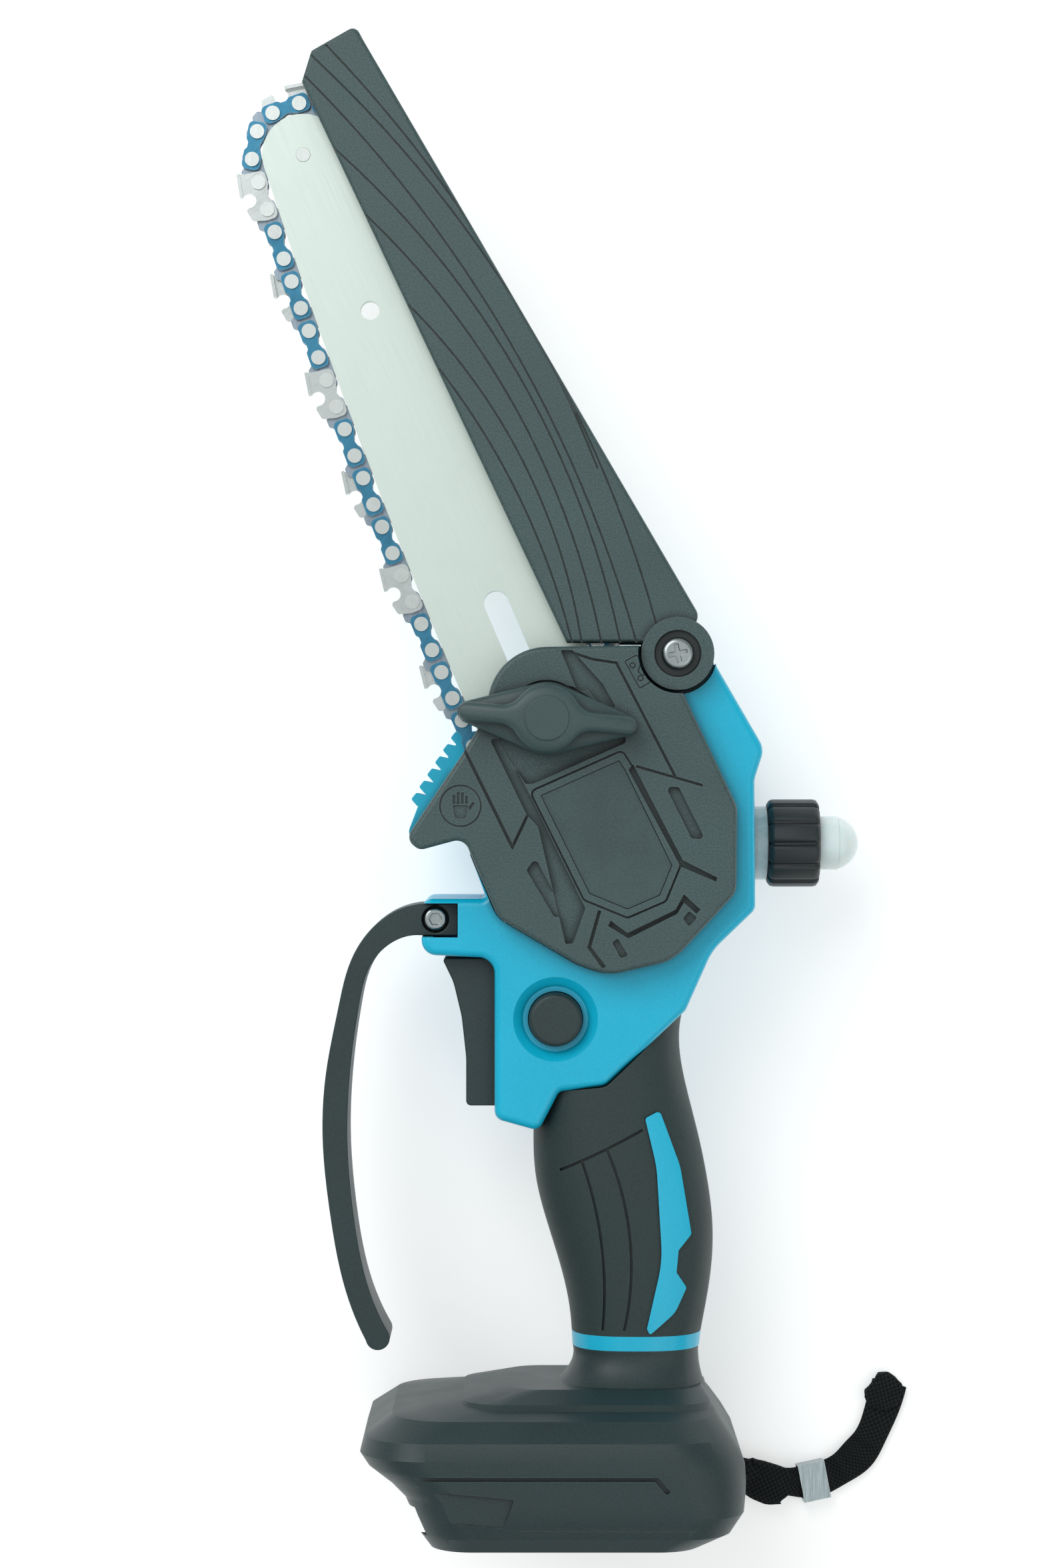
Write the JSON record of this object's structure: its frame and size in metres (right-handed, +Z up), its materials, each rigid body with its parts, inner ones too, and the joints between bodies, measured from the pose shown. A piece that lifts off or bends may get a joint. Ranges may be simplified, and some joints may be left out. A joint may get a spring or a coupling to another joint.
{
  "type": "cordless pruning chainsaw",
  "caption": "One-handed cordless pruning chainsaw with a short bar and chain under a swinging hood, curved grip with trigger and hand guard, and a wide battery foot without its pack.",
  "frame": {"origin": "point where the sprocket's axis meets the flat face of the motor cap that the saw lies on", "axes": "+Z up, along the sprocket's axis, from the resting face to the side cover; +Y from the battery foot towards the bar's nose; +X towards the oil filler"},
  "size_m": [0.1679, 0.3667, 0.078],
  "materials": {
    "housing_blue": "fine satin texture",
    "cover_black": "fine spark-eroded texture",
    "grip_rubber": "matt overmould",
    "foot_black": "satin",
    "inlay_blue": "satin",
    "cap_black": "satin",
    "bar_steel": "satin along the bar",
    "strap_blue": "blued",
    "link_steel": "satin",
    "cutter_chrome": "bright",
    "rivet_steel": "bright",
    "machined_steel": "machined",
    "screw_steel": "bright",
    "bronze": "sintered",
    "gear_steel": "machined",
    "plate_alu": "cast",
    "motor_steel": "black zinc",
    "knob_black": "satin",
    "button_grey": "satin",
    "neck_clear": "frosted",
    "bulb_clear": "soft, translucent white",
    "seal_rubber": "matt",
    "board_green": "solder mask",
    "contact_brass": "tinned",
    "lead_red": "matt",
    "strap_webbing": "woven polyester",
    "clasp_silver": "dull",
    "plate_black": "blank inlay"
  },
  "bodies": {
    "saw": {"strap_clasp": "clasp_silver", "housing_near": "housing_blue", "housing_far": "housing_blue", "far_cap": "cap_black", "side_cover": "cover_black", "cover_plate": "plate_black", "bar_stud": "machined_steel", "bar_pad": "machined_steel", "gear_plate": "plate_alu", "motor_can": "motor_steel", "motor_end_bell": "plate_alu", "motor_screws": "screw_steel", "shaft_bearings": "bronze", "oil_tank": "neck_clear", "oil_tube": "neck_clear", "hood_bushing": "machined_steel", "hood_screw": "screw_steel", "hood_spring": "machined_steel", "hand_guard": "cover_black", "guard_screw": "screw_steel", "trigger_spring": "machined_steel", "switch_body": "plate_black", "lock_spring": "machined_steel", "grip_near": "grip_rubber", "grip_far": "grip_rubber", "grip_inlays": "inlay_blue", "foot_near": "foot_black", "foot_far": "foot_black", "circuit_board": "board_green", "terminal_block": "plate_black", "terminal_blades": "contact_brass", "power_leads": "lead_red", "casing_screws": "screw_steel", "strap_pin": "screw_steel", "strap_band": "strap_webbing", "chain_drive_links": "link_steel", "chain_tie_straps": "strap_blue", "chain_cutters": "cutter_chrome", "chain_rivets": "rivet_steel"},
    "bar": {"guide_bar": "bar_steel", "nose_rivet": "rivet_steel", "tension_block": "machined_steel"},
    "tension_screw": {"tension_screw": "machined_steel"},
    "drive": {"drive_sprocket": "machined_steel", "output_shaft": "machined_steel", "drive_gear": "gear_steel", "sprocket_clip": "machined_steel"},
    "rotor": {"motor_rotor": "gear_steel", "motor_pinion": "gear_steel"},
    "knob_carrier": {"knob_washer": "machined_steel"},
    "knob": {"knob_wing": "knob_black", "knob_insert": "machined_steel"},
    "hood": {"hood": "cover_black"},
    "trigger": {"trigger": "cover_black"},
    "lock_button": {"lock_button": "button_grey"},
    "cap_carrier": {"oil_gasket": "seal_rubber"},
    "oil_cap": {"oil_collar": "cap_black"},
    "oil_bulb": {"oil_bulb": "bulb_clear"}
  },
  "joints": [
    {"name": "sprocket_spin", "type": "hinge", "parent": "saw", "child": "drive", "pos_m": [0, 0, 0.04], "axis": [0, 0, 1], "continuous": true, "deforming": ["chain_drive_links", "chain_tie_straps", "chain_cutters", "chain_rivets"]},
    {"name": "motor_spin", "type": "hinge", "parent": "saw", "child": "rotor", "pos_m": [0.00368, 0.02088, 0.02], "axis": [0, 0, 1], "continuous": true},
    {"name": "bar_tension", "type": "slide", "parent": "saw", "child": "bar", "axis": [-0.3955, 0.9184, 0], "range_m": [-0.006, 0]},
    {"name": "tension_turn", "type": "hinge", "parent": "saw", "child": "tension_screw", "pos_m": [-0.00189, 0.02967, 0.044], "axis": [-0.3955, 0.9184, 0], "range_deg": [-2700.5, 0.5]},
    {"name": "knob_turn", "type": "hinge", "parent": "knob_carrier", "child": "knob", "pos_m": [-0.0157, 0.03646, 0.065], "axis": [0, 0, 1], "range_deg": [-0.5, 720.5]},
    {"name": "knob_lift", "type": "slide", "parent": "saw", "child": "knob_carrier", "axis": [0, 0, 1], "range_m": [0, 0.0016]},
    {"name": "hood_swing", "type": "hinge", "parent": "saw", "child": "hood", "pos_m": [0.0159, 0.0523, 0.053], "axis": [0, 0, -1], "range_deg": [0, 60], "stiffness_Nm_per_rad": 0.05, "springref_deg": -34.38, "deforming": ["hood_spring"]},
    {"name": "trigger_pull", "type": "slide", "parent": "saw", "child": "trigger", "axis": [1, 0, 0], "range_m": [0, 0.006], "stiffness_N_per_m": 800, "springref_m": -0.003, "deforming": ["trigger_spring"]},
    {"name": "lock_press", "type": "slide", "parent": "saw", "child": "lock_button", "axis": [0, 0, -1], "range_m": [0, 0.003], "stiffness_N_per_m": 600, "springref_m": -0.002, "deforming": ["lock_spring"]},
    {"name": "cap_turn", "type": "hinge", "parent": "cap_carrier", "child": "oil_cap", "pos_m": [0.045, 0.00615, 0.03], "axis": [1, 0, 0], "range_deg": [-0.5, 540.5]},
    {"name": "cap_lift", "type": "slide", "parent": "saw", "child": "cap_carrier", "axis": [1, 0, 0], "range_m": [0, 0.0045]},
    {"name": "bulb_press", "type": "slide", "parent": "oil_cap", "child": "oil_bulb", "axis": [-1, 0, 0], "range_m": [0, 0.004], "stiffness_N_per_m": 500, "springref_m": -0.002}
  ],
  "couplings": [
    {"joint": "motor_spin", "follows": "sprocket_spin", "ratio": -3.0769},
    {"joint": "tension_turn", "follows": "bar_tension", "rad_per_m": 7854},
    {"joint": "knob_turn", "follows": "knob_lift", "rad_per_m": 7854},
    {"joint": "cap_turn", "follows": "cap_lift", "rad_per_m": 2094.4}
  ]
}
